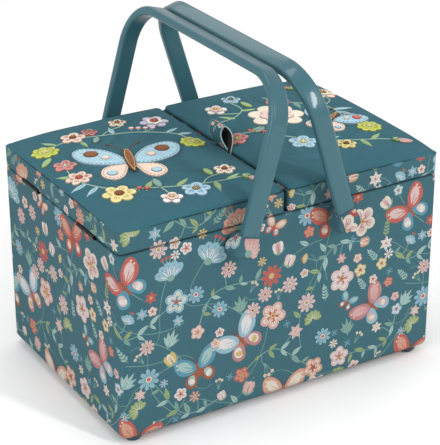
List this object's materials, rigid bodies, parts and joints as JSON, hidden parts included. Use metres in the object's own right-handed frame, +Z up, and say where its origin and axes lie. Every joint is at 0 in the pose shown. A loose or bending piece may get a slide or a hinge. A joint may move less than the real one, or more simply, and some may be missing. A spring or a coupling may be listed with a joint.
{
  "type": "sewing basket",
  "caption": "Fabric-covered rectangular sewing basket with two padded lids hinged at its ends, swinging moulded carrying handles and a lift-out tray inside.",
  "frame": {"origin": "on the floor, under the middle of the box", "axes": "+X along the box towards the right lid, +Y to the back, +Z up"},
  "size_m": [0.329, 0.2648, 0.314],
  "materials": {
    "printed_fabric": "matt cotton print, flowers and leaves on teal",
    "plain_fabric": "plain matt teal cloth over padding",
    "lining_fabric": "plain matt teal lining cloth",
    "cushion_fabric": "plain matt coral cloth, stuffed",
    "handle_plastic": "smooth moulded teal plastic with soft highlights",
    "tray_plastic": "smooth pale moulded plastic",
    "foot_plastic": "dark matt plastic",
    "fibreboard": "bare fibreboard",
    "base_cloth": "dark matt non-woven cloth",
    "hinge_steel": "dark bronzed steel",
    "bright_steel": "zinc-plated steel"
  },
  "bodies": {
    "box": {"body_cover": "printed_fabric", "body_lining": "lining_fabric", "front_board": "fibreboard", "back_board": "fibreboard", "left_end_board": "fibreboard", "right_end_board": "fibreboard", "base_board": "fibreboard", "base_sheet": "base_cloth", "front_tray_ledge": "fibreboard", "back_tray_ledge": "fibreboard", "tray": "tray_plastic", "left_front_foot": "foot_plastic", "left_front_foot_screw": "bright_steel", "left_front_handle_rivet": "bright_steel", "left_front_rivet_washer": "bright_steel", "left_lid_front_hinge_box_leaf": "hinge_steel", "left_lid_front_hinge_pin": "hinge_steel", "left_back_foot": "foot_plastic", "left_back_foot_screw": "bright_steel", "left_back_handle_rivet": "bright_steel", "left_back_rivet_washer": "bright_steel", "left_lid_back_hinge_box_leaf": "hinge_steel", "left_lid_back_hinge_pin": "hinge_steel", "right_front_foot": "foot_plastic", "right_front_foot_screw": "bright_steel", "right_front_handle_rivet": "bright_steel", "right_front_rivet_washer": "bright_steel", "right_lid_front_hinge_box_leaf": "hinge_steel", "right_lid_front_hinge_pin": "hinge_steel", "right_back_foot": "foot_plastic", "right_back_foot_screw": "bright_steel", "right_back_handle_rivet": "bright_steel", "right_back_rivet_washer": "bright_steel", "right_lid_back_hinge_box_leaf": "hinge_steel", "right_lid_back_hinge_pin": "hinge_steel"},
    "left_lid": {"left_lid_front_hinge_lid_leaf": "hinge_steel", "left_lid_back_hinge_lid_leaf": "hinge_steel", "left_lid_board": "fibreboard", "left_lid_band": "printed_fabric", "left_lid_pad": "plain_fabric", "left_lid_lining": "lining_fabric", "left_lid_pocket": "printed_fabric"},
    "right_lid": {"right_lid_front_hinge_lid_leaf": "hinge_steel", "right_lid_back_hinge_lid_leaf": "hinge_steel", "right_lid_board": "fibreboard", "right_lid_band": "printed_fabric", "right_lid_pad": "plain_fabric", "right_lid_lining": "lining_fabric", "right_lid_pincushion": "cushion_fabric", "pull_loop": "printed_fabric"},
    "left_handle": {"left_handle_front_cover": "printed_fabric", "left_handle_back_cover": "printed_fabric", "left_handle": "handle_plastic"},
    "right_handle": {"right_handle_front_cover": "printed_fabric", "right_handle_back_cover": "printed_fabric", "right_handle": "handle_plastic"}
  },
  "joints": [
    {"name": "left_lid_hinge", "type": "hinge", "parent": "box", "child": "left_lid", "pos_m": [-0.1625, 0, 0.184], "axis": [0, -1, 0], "range_deg": [0, 105]},
    {"name": "right_lid_hinge", "type": "hinge", "parent": "box", "child": "right_lid", "pos_m": [0.1625, 0, 0.184], "axis": [0, 1, 0], "range_deg": [0, 105]},
    {"name": "left_handle_pivot", "type": "hinge", "parent": "box", "child": "left_handle", "pos_m": [-0.051, 0, 0.1723], "axis": [0, -1, 0], "range_deg": [0, 132]},
    {"name": "right_handle_pivot", "type": "hinge", "parent": "box", "child": "right_handle", "pos_m": [0.051, 0, 0.1723], "axis": [0, 1, 0], "range_deg": [0, 133]}
  ]
}
